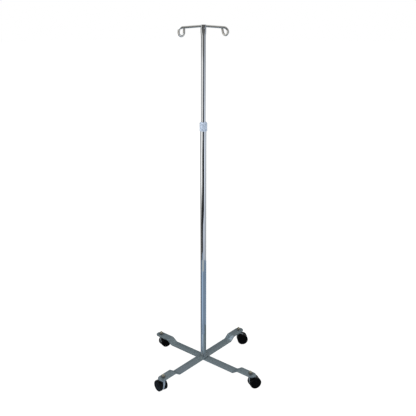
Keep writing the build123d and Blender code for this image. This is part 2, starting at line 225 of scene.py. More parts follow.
# ---- materials ----
class Nodes:
    """A material's node tree with a few short helpers."""

    def __init__(self, name):
        self.material = bpy.data.materials.new(name)
        self.material.use_nodes = True
        self.tree = self.material.node_tree
        self.shader = self.tree.nodes["Principled BSDF"]
        self.place = self.add("ShaderNodeTexCoord").outputs["Object"]

    def add(self, kind, **settings):
        node = self.tree.nodes.new(kind)
        for key, value in settings.items():
            setattr(node, key, value)
        return node

    def link(self, source, target):
        self.tree.links.new(source, target)

    def noise(self, scale, detail=3.0, roughness=0.5, stretch=(1, 1, 1)):
        """Noise in the object's own space; scale is features per metre."""
        mapping = self.add("ShaderNodeMapping")
        mapping.inputs["Scale"].default_value = stretch
        self.link(self.place, mapping.inputs["Vector"])
        texture = self.add("ShaderNodeTexNoise")
        texture.inputs["Scale"].default_value = scale
        texture.inputs["Detail"].default_value = detail
        texture.inputs["Roughness"].default_value = roughness
        self.link(mapping.outputs["Vector"], texture.inputs["Vector"])
        return texture.outputs["Fac"]

    def cells(self, scale, smoothness=0.6):
        """Rounded cells, for a hammered finish."""
        texture = self.add("ShaderNodeTexVoronoi", feature="SMOOTH_F1")
        texture.inputs["Scale"].default_value = scale
        texture.inputs["Smoothness"].default_value = smoothness
        self.link(self.place, texture.inputs["Vector"])
        return texture.outputs["Distance"]

    # Layer that marks real wear and dust, and on the caster bodies' sides dirt with painted shade.
    def wear_and_shade(self):
        return self.add("ShaderNodeAttribute", attribute_name="wear_and_shade").outputs["Fac"]

    def span(self, value, low, high, to_low, to_high):
        """Map a value's range onto another, clamped."""
        node = self.add("ShaderNodeMapRange")
        self.link(value, node.inputs["Value"])
        node.inputs["From Min"].default_value = low
        node.inputs["From Max"].default_value = high
        node.inputs["To Min"].default_value = to_low
        node.inputs["To Max"].default_value = to_high
        return node.outputs["Result"]

    def math(self, operation, first, second):
        node = self.add("ShaderNodeMath", operation=operation)
        for socket, value in zip(node.inputs, (first, second)):
            if isinstance(value, (int, float)):
                socket.default_value = value
            else:
                self.link(value, socket)
        return node.outputs["Value"]

    def add_share(self, value, other, share):
        """A value plus a share of another."""
        return self.math("ADD", value, self.math("MULTIPLY", other, share))

    def mix(self, factor, first, second):
        """Blend of two colours, each a tuple or a socket."""
        node = self.add("ShaderNodeMix", data_type="RGBA")
        self.link(factor, node.inputs["Factor"])
        for socket, value in ((node.inputs[6], first), (node.inputs[7], second)):
            if isinstance(value, tuple):
                socket.default_value = (*value, 1.0)
            else:
                self.link(value, socket)
        return node.outputs[2]

    def bump(self, height, distance, strength=1.0, after=None):
        node = self.add("ShaderNodeBump")
        node.inputs["Distance"].default_value = distance
        node.inputs["Strength"].default_value = strength
        self.link(height, node.inputs["Height"])
        if after is not None:
            self.link(after, node.inputs["Normal"])
        return node.outputs["Normal"]

    def surface(self, colour, roughness, normal, metallic=0.0, coat=0.0, coat_roughness=0.1):
        self.link(colour, self.shader.inputs["Base Color"])
        self.link(roughness, self.shader.inputs["Roughness"])
        self.link(normal, self.shader.inputs["Normal"])
        self.shader.inputs["Metallic"].default_value = metallic
        self.shader.inputs["Coat Weight"].default_value = coat
        self.shader.inputs["Coat Roughness"].default_value = coat_roughness
        return self.material


def make_chrome(name, colour, smudge, low_roughness, high_roughness):
    """Polished plating: faint handling smudges, fine draw marks along the tube, tiny pits."""
    n = Nodes(name)
    smudges = n.noise(22, detail=5, roughness=0.6, stretch=(1, 1, 0.35))
    draw_marks = n.noise(2600, detail=2, stretch=(1, 1, 0.012))
    pits = n.noise(900, detail=2)
    tint = n.mix(n.span(smudges, 0.45, 0.75, 0, 1), colour, smudge)
    rough = n.span(n.add_share(smudges, pits, 0.3), 0.5, 0.95, low_roughness, high_roughness)
    normal = n.bump(draw_marks, 0.00002, 0.35)
    normal = n.bump(n.span(pits, 0.62, 0.8, 1, 0), 0.00002, 0.2, after=normal)
    return n.surface(tint, rough, normal, metallic=1.0)


def make_hammered_enamel():
    """Blue-grey hammered metallic enamel, worn brighter along the bar's edges."""
    n = Nodes("bar_enamel")
    cells = n.cells(210)
    fine = n.noise(1500, detail=2)
    patches = n.noise(14, detail=4)
    paint = n.mix(n.span(cells, 0.15, 0.75, 0, 1), (0.195, 0.243, 0.26), (0.115, 0.15, 0.16))
    paint = n.mix(n.span(patches, 0.35, 0.7, 0, 0.5), paint, (0.145, 0.172, 0.205))
    worn = n.math("MULTIPLY", n.wear_and_shade(), n.span(n.noise(320, detail=4), 0.52, 0.66, 0, 1))
    tint = n.mix(worn, paint, (0.14, 0.17, 0.18))
    rough = n.span(n.add_share(cells, fine, 0.4), 0.2, 1.0, 0.30, 0.52)
    normal = n.bump(cells, 0.0004, 0.55)
    normal = n.bump(fine, 0.00004, 0.3, after=normal)
    return n.surface(tint, rough, normal, metallic=0.55, coat=0.6, coat_roughness=0.08)


def make_plated_steel(name, colour, stain, roughness=(0.28, 0.5), metallic=1.0, dirt_and_shade=None):
    """Plated or oiled steel: fine grain, stains and dull patches, and, where the layer is set, a near-black
    mix that is dirt and painted shade.
    """
    n = Nodes(name)
    stains = n.noise(260, detail=5, roughness=0.65)
    grain = n.noise(3500, detail=2)
    tint = n.mix(n.span(stains, 0.42, 0.68, 0, 0.6), colour, stain)
    # Where the layer is set, mixed toward a near-black colour: painted shade, with some dirt.
    if dirt_and_shade:
        tint = n.mix(n.wear_and_shade(), tint, dirt_and_shade)
    rough = n.span(n.add_share(stains, grain, 0.3), 0.4, 0.9, *roughness)
    normal = n.bump(grain, 0.00003, 0.4)
    return n.surface(tint, rough, normal, metallic=metallic)


def make_wheel_plastic():
    """Glossy black moulded nylon, dusty and scuffed where the tread meets the floor."""
    n = Nodes("wheel_black")
    flow = n.noise(120, detail=3)
    speckle = n.noise(2400, detail=2)
    dust = n.math("MULTIPLY", n.wear_and_shade(), n.span(n.noise(420, detail=5), 0.42, 0.62, 0.0, 1.0))
    tint = n.mix(n.span(flow, 0.4, 0.7, 0, 1), (0.0015, 0.0015, 0.002), (0.003, 0.003, 0.0035))
    tint = n.mix(n.math("MULTIPLY", dust, 0.3), tint, (0.022, 0.021, 0.020))
    shine = n.span(n.add_share(flow, speckle, 0.25), 0.4, 0.9, 0.16, 0.30)
    rough = n.add_share(shine, dust, 0.35)
    normal = n.bump(speckle, 0.00003, 0.3)
    normal = n.bump(flow, 0.0004, 0.12, after=normal)
    n.shader.inputs["Specular IOR Level"].default_value = 0.06
    return n.surface(tint, rough, normal)


def make_nylon():
    """Natural off-white nylon with flow marks."""
    n = Nodes("nylon")
    flow = n.noise(180, detail=4)
    grain = n.noise(2600, detail=2)
    tint = n.mix(n.span(flow, 0.35, 0.7, 0, 1), (0.74, 0.73, 0.68), (0.62, 0.60, 0.54))
    rough = n.span(grain, 0.3, 0.7, 0.42, 0.6)
    return n.surface(tint, rough, n.bump(grain, 0.00004, 0.4))


def make_collar_plate():
    """Bright plated collar: satin where it is gripped, faint wear rings."""
    n = Nodes("collar_plate")
    rings = n.noise(900, detail=2, stretch=(0.02, 0.02, 1))
    smudges = n.noise(70, detail=5, roughness=0.6)
    tint = n.mix(n.span(smudges, 0.42, 0.7, 0, 1), (0.44, 0.51, 0.62), (0.37, 0.44, 0.54))
    rough = n.span(n.add_share(smudges, rings, 0.3), 0.45, 0.9, 0.28, 0.46)
    normal = n.bump(rings, 0.00003, 0.4)
    return n.surface(tint, rough, normal, metallic=0.3)


MATERIALS = {
    "chrome_tube": make_chrome("chrome_tube", (0.74, 0.75, 0.76), (0.66, 0.67, 0.69), 0.03, 0.09),
    "chrome_rod": make_chrome("chrome_rod", (0.88, 0.85, 0.79), (0.62, 0.60, 0.55), 0.10, 0.22),
    "collar_plate": make_collar_plate(),
    "bar_enamel": make_hammered_enamel(),
    "zinc_steel": make_plated_steel("zinc_steel", (0.52, 0.53, 0.54), (0.33, 0.33, 0.33)),
    "bronze_nut": make_plated_steel("bronze_nut", (0.24, 0.23, 0.20), (0.10, 0.095, 0.085)),
    "yellow_zinc": make_plated_steel("yellow_zinc", (0.60, 0.56, 0.43), (0.38, 0.35, 0.26)),
    "nylon": make_nylon(),
    # The near-black colour below is painted shade on the body's sides between the wheels, with some dirt.
    "caster_casting": make_plated_steel(
        "caster_casting", (0.32, 0.35, 0.37), (0.23, 0.26, 0.27), roughness=(0.18, 0.36), metallic=0.6,
        dirt_and_shade=(0.03, 0.032, 0.034)),
    "wheel_black": make_wheel_plastic(),
}


def dress_hidden_nodes():
    """Pieces kept from CAD, most of them inside others, get their slot's material."""
    for entry in frame["record"]["subparts"]:
        node = frame["nodes"][entry["node"]]
        material = MATERIALS[entry["material_slot"]]
        if node.material_slots:
            for material_slot in node.material_slots:
                material_slot.material = material
        else:
            node.data.materials.append(material)


# ---- base bars ----
BAR_JOGGLE = 16.5 * MM
RAMP_INNER = 183.5 * MM
RAMP_OUTER = 207.0 * MM
BAR_BEND = 11.5 * MM
BAR_EDGE = 1.1 * MM
BAR_WIDTH = 40 * MM
BAR_THICKNESS = 5 * MM


def bar_centre_line(half_length):
    """Height of a bar's middle surface against distance from the mast, as a table."""
    right = round_corners([
        (0, 0), (RAMP_INNER, 0, BAR_BEND), (RAMP_OUTER, BAR_JOGGLE, BAR_BEND), (half_length, BAR_JOGGLE),
    ])
    straight_step = 9 * MM
    table = []
    for (x0, z0), (x1, z1) in zip(right, right[1:]):
        pieces = max(1, int((x1 - x0) / straight_step))
        for k in range(pieces):
            table.append((x0 + (x1 - x0) * k / pieces, z0 + (z1 - z0) * k / pieces))
    table.append(right[-1])
    return table


def build_bar(name, heading, middle_height):
    """Stepped flat bar with rolled edges and full round tips."""
    low, high = (Vector(corner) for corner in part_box(name))
    end_reach = sqrt(2) * ((high.x - low.x) / 2 - BAR_WIDTH / 2) + BAR_WIDTH / 2
    tip_centre = end_reach - BAR_WIDTH / 2
    table = bar_centre_line(end_reach)
    stations = [x for x, _ in table if x < tip_centre]

    def height_at(x):
        x = min(abs(x), end_reach)
        for (x0, z0), (x1, z1) in zip(table, table[1:]):
            if x <= x1:
                share = (x - x0) / (x1 - x0)
                return z0 + (z1 - z0) * share, atan2(z1 - z0, x1 - x0)
        return table[-1][1], 0.0

    tip_steps = 14
    tip_angles = [pi / 2 * (k + 0.5) / tip_steps for k in range(tip_steps)]

    def outline(inset):
        """Half outline of one ring as (along, half width), from the far tip to the near tip."""
        half = BAR_WIDTH / 2 - inset
        right = [(x, half) for x in stations]
        right += [(tip_centre + half * sin(a), half * cos(a)) for a in tip_angles]
        left = [(-x, w) for x, w in reversed(right) if x > 0]
        return left + right

    along = Vector((cos(heading), sin(heading), 0))
    side = UP.cross(along)

    def bent(x, w, h):
        height, slope = height_at(x)
        if x < 0:
            slope = -slope
        normal = UP * cos(slope) - along * sin(slope)
        return along * x + side * w + UP * (middle_height + height) + normal * h

    levels = [(BAR_EDGE * (1 - sin(a)), BAR_THICKNESS / 2 - BAR_EDGE * (1 - cos(a)))
              for a in spread(0, pi / 2, 4)]
    profile = [(inset, h) for inset, h in levels] + [(inset, -h) for inset, h in reversed(levels)]
    rings = []
    for inset, h in profile:
        half = outline(inset)
        rings.append([bent(x, w, h) for x, w in half] + [bent(x, -w, h) for x, w in reversed(half)])
    on_edge = [float(inset < BAR_EDGE * 0.9 and abs(h) > BAR_THICKNESS / 4) for inset, h in profile]
    build = bmesh.new()
    rows = stitch_rings(build, rings, on_edge)
    for row in (rows[0], rows[-1]):
        count = len(row)
        for k in range(count // 2 - 1):
            build.faces.new((row[k], row[k + 1], row[count - 2 - k], row[count - 1 - k]))
    bmesh.ops.recalc_face_normals(build, faces=build.faces)
    bar = finish_mesh(f"{name}_enamelled", mesh_from(name, build))
    place(bar, "base", "bar_enamel", name)


def build_base_bars():
    for name, heading in (("lower_base_bar", radians(135)), ("upper_base_bar", radians(45))):
        build_bar(name, heading, box_bottom(name) + BAR_THICKNESS / 2)


# ---- mast ----
TUBE_WALL = 1.2 * MM


def build_lower_tube():
    """Plain polished tube with rolled ends."""
    radius = box_radius("lower_tube")
    bottom, top = box_heights("lower_tube")
    bore = radius - TUBE_WALL
    seat = box_bottom("tube_ferrule")
    seat_radius = radius - 0.1 * MM
    profile = round_corners([
        (bottom, bore, 0.3 * MM), (bottom, radius, 0.5 * MM),
        (seat, radius, 0.03 * MM), (seat, seat_radius, 0.03 * MM),
        (top, seat_radius, 0.3 * MM), (top, bore, 0.3 * MM),
    ], closed=True)
    tube = lathe("lower_tube_chromed", profile)
    place(tube, "base", "chrome_tube", "lower_tube")


ROD_DROOP = radians(4)
CRIMP_START_DROP = 42 * MM       # below the hook rod's middle
CRIMP_FULL_DROP = 18 * MM
DIMPLE_DROP = 9.5 * MM
DIMPLE_SPACING = 8 * MM
DIMPLE_RADIUS = 3.6 * MM
DIMPLE_DEPTH = 0.9 * MM
CRIMP_FLATNESS = 0.643           # depth over width where the tube is squeezed
FACET_DEPTH = 0.22               # share of the depth that the flat facets take off
FACET_BLEND = 0.35 * MM


def smooth_step(value):
    value = min(max(value, 0.0), 1.0)
    return value * value * (3 - 2 * value)


def crimped_point(angle, z, rod_z, wide, deep, radius, inset):
    """Point of the upper tube's surface: round, then squeezed flat with a V-shaped facet each side."""
    squeeze = smooth_step((z - (rod_z - CRIMP_START_DROP)) / (CRIMP_START_DROP - CRIMP_FULL_DROP))
    half_x = radius + (wide - radius) * squeeze - inset
    half_y = radius + (deep - radius) * squeeze - inset
    x, y = half_x * cos(angle), half_y * sin(angle)
    facet_rise = smooth_step((z - (rod_z - CRIMP_START_DROP)) / (CRIMP_START_DROP - DIMPLE_DROP))
    limit = half_y * (1.02 - FACET_DEPTH * facet_rise)
    over = abs(y) - limit
    soft = over / 2 + sqrt(over * over / 4 + FACET_BLEND * FACET_BLEND)
    y = (abs(y) - soft) * (1 if y >= 0 else -1)
    for sign in (-1, 1):
        gap = Vector((x - sign * DIMPLE_SPACING / 2, z - (rod_z - DIMPLE_DROP)))
        dent = DIMPLE_DEPTH * exp(-2.2 * (gap.length / DIMPLE_RADIUS) ** 2)
        y -= dent * (1 if y >= 0 else -1) * (1 if abs(y) > 0.3 * half_y else 0)
    return Vector((x, y, z))


def build_upper_tube(rod_z):
    """Thin tube, open at both ends, squeezed on the hook rod at its top."""
    low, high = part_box("upper_tube")
    radius = (high[1] - low[1]) / 2
    wide = (high[0] - low[0]) / 2
    deep = wide * CRIMP_FLATNESS
    bottom, top = low[2], high[2]
    segments = 120
    outer_heights = [bottom, bottom + 0.6 * MM, rod_z - CRIMP_START_DROP - 2 * MM]
    outer_heights += spread(outer_heights[-1], top - 0.5 * MM, 46)[1:]

    def ring_at(z, inset):
        return [crimped_point(2 * pi * k / segments, z, rod_z, wide, deep, radius, inset)
                for k in range(segments)]

    rings = [ring_at(z, 0) for z in outer_heights]
    rings += [ring_at(top, TUBE_WALL * share) for share in (0.25, 0.5)]
    rings += [ring_at(z, TUBE_WALL) for z in reversed(outer_heights)]
    tube = piece_from_rings("upper_tube_chromed", rings, loop=True)
    place(tube, "mast", "chrome_tube", "upper_tube")


EYE_OFFSET = 12 * MM
EYE_SHAPES = {        # bend radius, span, rise, tip length, depth below the rod's middle
    -1: (16 * MM, 21.5 * MM, 0.5 * MM, 19.5 * MM, 37.5 * MM),
    1: (17.5 * MM, 18 * MM, -2 * MM, 20 * MM, 34 * MM),
}
CROWN_HALF_WIDTH = 14 * MM


def arc_points(start, tangent, end, steps):
    """Points of the arc that leaves start along tangent and reaches end, without its first."""
    chord = end - start
    tangent = tangent.normalized()
    normal = (chord - tangent * chord.dot(tangent)).normalized()
    radius = chord.length_squared / (2 * chord.dot(normal))
    centre = start + normal * radius
    turn = atan2(chord.dot(tangent) / radius, 1 - chord.dot(normal) / radius)
    if turn <= 0:
        turn += 2 * pi
    return [centre - normal * radius * cos(turn * k / steps) + tangent * radius * sin(turn * k / steps)
            for k in range(1, steps + 1)]


def eye_points(sign, rod_z, reach):
    """Centre line of half the rod from the mast to the tip of one eye."""
    bend_radius, span, rise, tip_length, depth = EYE_SHAPES[sign]
    outward = Vector((sign * cos(ROD_DROOP), 0, -sin(ROD_DROOP)))
    points = [Vector((0, 0, rod_z))]
    crown_end = Vector((sign * CROWN_HALF_WIDTH, 0, rod_z - CROWN_HALF_WIDTH * tan(ROD_DROOP) / 2))
    points += arc_points(points[0], Vector((sign, 0, 0)), crown_end, 6)
    corner = crown_end + outward * ((reach - CROWN_HALF_WIDTH) / cos(ROD_DROOP))
    setback = bend_radius * tan((pi / 2 - ROD_DROOP) / 2)
    straight_steps = 12
    bend_start = corner - outward * setback
    points += [crown_end.lerp(bend_start, (k + 1) / straight_steps) for k in range(straight_steps)]
    points += arc_points(bend_start, outward, corner - UP * setback, 14)
    chord = Vector((-sign * span, EYE_OFFSET, 0))
    curl_radius = (chord.length_squared + rise * rise) / (2 * chord.length)
    leg_bottom = Vector((corner.x, 0, rod_z - depth + curl_radius))
    points.append(leg_bottom)
    points += arc_points(leg_bottom, -UP, leg_bottom + chord + UP * rise, 26)
    tip_end = points[-1] + (points[-1] - points[-2]).normalized() * tip_length
    points += [points[-1].lerp(tip_end, share) for share in (0.5, 1.0)]
    return points


def build_hook_rod(rod_z, radius, reach):
    left = eye_points(-1, rod_z, reach)
    right = eye_points(1, rod_z, reach)
    rod = swept_tube("hook_rod_chromed", list(reversed(left)) + right[1:], radius)
    place(rod, "mast", "chrome_rod", "hook_rod")


FLUTE_COUNT = 36
FLUTE_DEPTH = 0.2 * MM
FLUTE_FADE = 1.5 * MM
COLLAR_FOOT = 5 * MM             # plain band and groove below the flutes
COLLAR_NECK = 5 * MM             # plain band above them
COLLAR_SHOULDER = 5 * MM
GROOVE_DEPTH = 0.7 * MM


def build_lock_collar():
    """Turned collar: a foot band, a groove, a fluted grip band and a rounded shoulder."""
    bottom, top = box_heights("lock_collar")
    radius = box_radius("lock_collar")
    tube_low, tube_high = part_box("upper_tube")
    mouth = (tube_high[1] - tube_low[1]) / 2 + 0.5 * MM
    bore = box_radius("tube_ferrule") + 0.2 * MM
    foot_radius = radius - 0.2 * MM
    groove_radius = radius - GROOVE_DEPTH
    shoulder = top - COLLAR_SHOULDER
    band_bottom, band_top = bottom + COLLAR_FOOT, shoulder - COLLAR_NECK
    outer = [
        (bottom, bore, 0.2 * MM),
        (bottom, foot_radius, 0.7 * MM),
        (bottom + 3.6 * MM, foot_radius, 0.3 * MM),
        (bottom + 3.9 * MM, groove_radius, 0.3 * MM),
        (bottom + 4.4 * MM, groove_radius, 0.3 * MM),
        (bottom + 4.7 * MM, radius, 0.3 * MM),
    ]
    outer += [(height, radius) for height in spread(band_bottom, band_top, 8)]
    outer += [
        (shoulder, radius, 1.6 * MM),
        (top, radius - 3.1 * MM, 0.7 * MM),
        (top, mouth, 0.3 * MM),
        (top - 3.4 * MM, mouth, 0.2 * MM),
        (top - 3.6 * MM, bore - 1.6 * MM, 0.2 * MM),
        (top - 16 * MM, bore, 0.2 * MM),
    ]
    profile = round_corners(outer, closed=True)

    def fluted(along, here, angle):
        if here < radius - 0.01 * MM:
            return here
        fade = smooth_step((along - band_bottom) / FLUTE_FADE) * smooth_step((band_top - along) / FLUTE_FADE)
        return here - FLUTE_DEPTH * fade * (0.5 + 0.5 * cos(FLUTE_COUNT * angle))

    collar = lathe("lock_collar_plated", profile, segments=FLUTE_COUNT * 8, radius_at=fluted)
    place(collar, "lock_collar", "collar_plate", "lock_collar")


# ---- fasteners ----
def build_hex(name, centre, bottom, top, half_flat, bore, turn):
    """Hexagon nut or bolt head with the curved chamfers that turning leaves on its corners."""
    segments = 72
    slope = tan(radians(30))
    lead = 0.5 * MM
    angles = [2 * pi * k / segments for k in range(segments)]

    def ring(height, radius_of):
        return [Vector((centre.x + radius_of(a) * cos(a + turn),
                        centre.y + radius_of(a) * sin(a + turn), height(a)))
                for a in angles]

    def full(angle):
        within = (angle + pi / 6) % (pi / 3) - pi / 6
        return half_flat / cos(within)

    def face(angle):
        return half_flat * 0.94

    def drop(angle):
        return (full(angle) - half_flat) * slope + 0.25 * MM

    rings = [
        ring(lambda a: bottom, lambda a: bore + lead),
        ring(lambda a: bottom, face),
        ring(lambda a: bottom + drop(a), full),
        ring(lambda a: top - drop(a), full),
        ring(lambda a: top, face),
        ring(lambda a: top, lambda a: bore + lead),
    ]
    if bore > 0:
        rings.append(ring(lambda a: top - lead, lambda a: bore))
        rings.append(ring(lambda a: bottom + lead, lambda a: bore))
    return piece_from_rings(name, rings, loop=bore > 0)


THREAD_PITCH = 1.5 * MM
THREAD_DEPTH = 0.75 * MM


def build_threaded_stud(name, centre, bottom, top, radius):
    """Stud with a helical thread, its crests slightly flat, and a chamfered end."""
    rows_per_pitch = 8
    rows = int((top - bottom) / THREAD_PITCH * rows_per_pitch)
    profile = [(along, radius) for along in spread(bottom, top, rows)]
    profile.append((top + 0.01 * MM, radius * 0.35))

    def threaded(along, here, angle):
        if here < radius * 0.9:
            return here
        phase = (along / THREAD_PITCH - angle / (2 * pi)) % 1.0
        tooth = min(abs(phase - 0.5) * 2 * 1.15, 1.0)
        chamfer = max(0.0, along - (top - 1.0 * MM))
        return radius - max(THREAD_DEPTH * tooth, chamfer)

    return lathe(name, profile, origin=centre, segments=40, closed=False, radius_at=threaded)


def build_spring_washer(name, centre, bottom, thickness, inner, outer, turn):
    """Split ring with square edges, its two ends sprung a little apart in height."""
    segments = 64
    slit = radians(9)
    edge = 0.25 * MM
    section = round_corners([
        (inner, 0, edge), (outer, 0, edge), (outer, thickness, edge), (inner, thickness, edge),
    ], closed=True)
    rings = []
    for k in range(segments + 1):
        share = k / segments
        angle = turn + slit / 2 + (2 * pi - slit) * share
        lean = (share - 0.5) * 0.12 * thickness
        rings.append([Vector((centre.x + r * cos(angle), centre.y + r * sin(angle),
                              bottom + min(max(h * 0.94 + lean, 0), thickness))) for r, h in section])
    return piece_from_rings(name, rings)


def join(name, pieces):
    """One object from several that share a CAD node."""
    build = bmesh.new()
    for piece in pieces:
        build.from_mesh(piece.data)
    mesh = mesh_from(name, build)
    for piece in pieces:
        old = piece.data
        bpy.data.objects.remove(piece)
        bpy.data.meshes.remove(old)
    return finish_mesh(name, mesh)


NUT_HALF_FLAT = 8.5 * MM
NUT_HEIGHT = 5 * MM
WASHER_THICKNESS = 2 * MM
STUD_RADIUS = 5 * MM
STUD_ABOVE_BAR = 14.5 * MM
STUD_HOLE = STUD_RADIUS + 0.1 * MM
SPRING_WASHER_RADIUS = 8.6 * MM
FLANGE_RADIUS = 9 * MM           # of the stems, the spacers and the casters' bosses
BOLT_HOLE = 5.2 * MM
NUT_TURNS = {"front_left": 8, "front_right": 31, "rear_left": 20, "rear_right": 47}


def build_stud_fasteners():
    """Nuts, spring washers and spacers round the four studs."""
    nuts, washers, spacers = [], [], []
    for corner in CORNERS:
        centre = floor_point(f"caster_stem_{corner}")
        bar_top = box_top(f"caster_stem_{corner}") - STUD_ABOVE_BAR
        turn = radians(NUT_TURNS[corner])
        nut_bottom = bar_top + WASHER_THICKNESS
        nuts.append(build_hex(f"nut_{corner}", centre, nut_bottom, nut_bottom + NUT_HEIGHT,
                              NUT_HALF_FLAT, STUD_RADIUS * 0.94, turn))
        washers.append(build_spring_washer(f"washer_{corner}", centre, bar_top, WASHER_THICKNESS,
                                           STUD_HOLE, SPRING_WASHER_RADIUS, turn + 1.3))
    low, high = box_heights("caster_spacers")
    profile = round_corners([
        (low, STUD_HOLE), (low, FLANGE_RADIUS, 0.5 * MM), (high, FLANGE_RADIUS, 0.5 * MM), (high, STUD_HOLE),
    ], closed=True)
    for corner in ("front_left", "rear_right"):
        centre = floor_point(f"caster_stem_{corner}")
        spacers.append(lathe(f"spacer_{corner}", profile, origin=centre, segments=64))
    place(join("caster_nuts_oiled", nuts), "base", "bronze_nut", "caster_nuts")
    place(join("caster_lock_washers_plated", washers), "base", "zinc_steel", "caster_lock_washers")
    place(join("caster_spacers_plated", spacers), "base", "zinc_steel", "caster_spacers")


def build_base_bolt():
    """Hexagon bolt and washer seen from under the base."""
    washer_low, washer_high = box_heights("base_bolt_washer")
    washer_radius = box_radius("base_bolt_washer")
    profile = round_corners([
        (washer_low, BOLT_HOLE, 0.2 * MM), (washer_low, washer_radius, 0.4 * MM),
        (washer_high, washer_radius, 0.2 * MM), (washer_high, BOLT_HOLE, 0.2 * MM),
    ], closed=True)
    washer = lathe("base_bolt_washer_plated", profile, segments=80)
    place(washer, "base", "zinc_steel", "base_bolt_washer")
    head = build_hex("bolt_head", ORIGIN, box_bottom("base_bolt"), washer_low,
                     NUT_HALF_FLAT, 0.0, radians(12))
    shank = build_threaded_stud("bolt_shank", ORIGIN, washer_low, box_top("base_bolt"), STUD_RADIUS)
    place(join("base_bolt_plated", [head, shank]), "base", "zinc_steel", "base_bolt")


# ---- casters ----
BODY_HALF = 5 * MM
WHEEL_INNER = 5.5 * MM
WHEEL_OUTER = 19.8 * MM
CASTER_HALF_WIDTH = 20.4 * MM
CAP_RADIUS = 8 * MM
CAP_SEAT = 18.1 * MM             # from the caster's middle
AXLE_RADIUS = 3 * MM
DISC_RADIUS = 22.3 * MM
NECK_BACK = -6.5 * MM            # the neck's rear and front faces, from the stem
NECK_FRONT = 12 * MM
STEM_FLANGE_TOP = box_top("lower_base_bar") - BAR_THICKNESS
STEM_FLANGE_BOTTOM = STEM_FLANGE_TOP - 3.2 * MM
NECK_TOP = STEM_FLANGE_TOP - 7.5 * MM
BOSS_BOTTOM = STEM_FLANGE_TOP - 8.9 * MM
STEM_PIN_RADIUS = 3.5 * MM
FIT = 0.05 * MM                  # between turning parts


def caster_frame(corner):
    """Stem centre on the floor, axle centre, the way the caster trails, and its left side."""
    stem = floor_point(f"caster_stem_{corner}")
    axle = box_centre(f"caster_axle_{corner}")
    ahead = (floor_point(f"caster_axle_{corner}") - stem).normalized()
    return stem, axle, ahead, UP.cross(ahead)


def build_caster_stem(corner, stem):
    """Flange and plain pin below, threaded stud above."""
    low = box_bottom(f"caster_stem_{corner}")
    profile = round_corners([
        (low, 0), (low, STEM_PIN_RADIUS, 0.5 * MM), (STEM_FLANGE_BOTTOM, STEM_PIN_RADIUS),
        (STEM_FLANGE_BOTTOM, FLANGE_RADIUS, 0.6 * MM), (STEM_FLANGE_TOP, FLANGE_RADIUS, 0.6 * MM),
        (STEM_FLANGE_TOP, 0),
    ])
    lower = lathe(f"stem_lower_{corner}", profile, origin=stem, segments=64, closed=False)
    stud = build_threaded_stud(f"stem_stud_{corner}", stem, STEM_FLANGE_TOP,
                               box_top(f"caster_stem_{corner}") - 0.02 * MM, STUD_RADIUS)
    place(join(f"caster_stem_{corner}_plated", [lower, stud]), "base", "yellow_zinc", f"caster_stem_{corner}")


def build_caster_body(corner, stem, axle, ahead, left):
    """Cast centre body: a rounded disc between the wheels, blended up into the stem's boss."""
    name = f"caster_body_{corner}"
    trail = (axle - stem).dot(ahead)
    outline = [(trail + DISC_RADIUS * cos(a), axle.z + DISC_RADIUS * sin(a))
               for a in spread(radians(66), radians(-179), 60)]
    neck = round_corners([
        outline[-1],
        (NECK_BACK, NECK_TOP - 18.5 * MM, 5 * MM),
        (NECK_BACK, NECK_TOP, 1.0 * MM),
        (NECK_FRONT, NECK_TOP, 6 * MM),
        outline[0],
    ])
    outline += neck[1:-1]
    edge = 1.2 * MM
    centre = Vector((sum(x for x, _ in outline), sum(z for _, z in outline))) / len(outline)

    def inset_ring(inset, side):
        """The outline moved inward, at one distance from the body's middle."""
        ring = []
        count = len(outline)
        for k, (x, z) in enumerate(outline):
            before = Vector(outline[k - 1])
            after = Vector(outline[(k + 1) % count])
            direction = (after - before).normalized()
            inward = Vector((direction.y, -direction.x))
            if inward.dot(centre - Vector((x, z))) < 0:
                inward = -inward
            x, z = x + inward.x * inset, z + inward.y * inset
            ring.append(stem + ahead * x + UP * z + left * side)
        return ring

    angles = spread(0, pi / 2, 4)
    rings = [inset_ring(edge * (1 - sin(a)), BODY_HALF - edge * (1 - cos(a))) for a in angles]
    rings += [inset_ring(edge * (1 - sin(a)), -BODY_HALF + edge * (1 - cos(a))) for a in reversed(angles)]
    # The flat sides facing the wheels get the near-black mix: painted shade from the wheels, with some dirt.
    dirt_and_shade_beside_wheels = [1.0] + [0.0] * (len(rings) - 2) + [1.0]
    plate = piece_from_rings(f"body_plate_{corner}", rings, wear_and_shade_per_ring=dirt_and_shade_beside_wheels)
    low, high = BOSS_BOTTOM, box_top(name)
    boss_profile = round_corners([
        (low, 0), (low, 7.5 * MM, 1.5 * MM), (low + 1.6 * MM, FLANGE_RADIUS, 0.8 * MM),
        (high, FLANGE_RADIUS, 0.7 * MM), (high, STEM_PIN_RADIUS + FIT, 0.2 * MM),
        (high - 1 * MM, STEM_PIN_RADIUS + FIT),
    ])
    boss = lathe(f"body_boss_{corner}", boss_profile, origin=stem, segments=72, closed=False)
    place(join(f"{name}_cast", [plate, boss]), f"caster_{corner}", "caster_casting", name)


